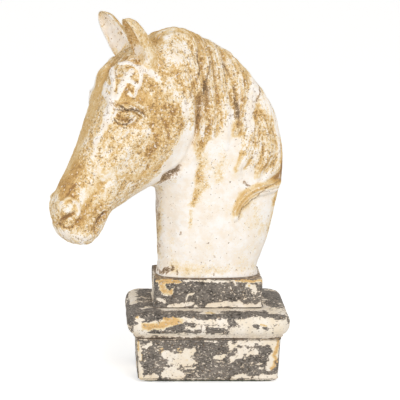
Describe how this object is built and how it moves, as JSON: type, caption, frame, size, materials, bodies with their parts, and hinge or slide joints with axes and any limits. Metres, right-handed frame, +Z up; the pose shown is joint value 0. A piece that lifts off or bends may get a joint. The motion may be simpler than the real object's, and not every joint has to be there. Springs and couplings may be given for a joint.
{
  "type": "giant chess piece",
  "caption": "Giant chess knight: a hollow cast horse's head and neck, tied by a rod to a stepped rectangular plinth with a felt base.",
  "frame": {"origin": "centre of the flat rest face under the felt", "axes": "+Z up through the tie rod, -X the way the horse faces before its head turns, -Y the side the head turns to"},
  "size_m": [0.358, 0.205, 0.5455],
  "materials": {
    "aged_plaster": "cream cement with ochre wash, worn pale on the raised edges and brown in the pits",
    "worn_paint": "chipped black paint over cream and yellow coats",
    "plain_steel": "zinc plated",
    "beech_wood": "bare turned beech",
    "ply_board": "bare plywood",
    "green_felt": "pressed wool felt"
  },
  "bodies": {
    "root": {"bust_left_shell": "aged_plaster", "bust_right_shell": "aged_plaster", "ear_left": "aged_plaster", "ear_right": "aged_plaster", "seam_pin_poll": "plain_steel", "seam_pin_crest": "plain_steel", "seam_pin_throat": "plain_steel", "seam_pin_muzzle": "plain_steel", "neck_block": "worn_paint", "plinth_cap": "worn_paint", "plinth_box": "worn_paint", "base_board": "ply_board", "board_screw_1": "plain_steel", "board_screw_2": "plain_steel", "board_screw_3": "plain_steel", "board_screw_4": "plain_steel", "base_felt": "green_felt", "tie_rod": "plain_steel", "anchor_plate": "plain_steel", "anchor_washer": "plain_steel", "anchor_nut": "plain_steel", "rod_washer": "plain_steel", "rod_nut": "plain_steel", "neck_dowel_1": "beech_wood", "neck_dowel_2": "beech_wood", "block_dowel_1": "beech_wood", "block_dowel_2": "beech_wood", "cap_dowel_1": "beech_wood", "cap_dowel_2": "beech_wood"}
  },
  "joints": []
}
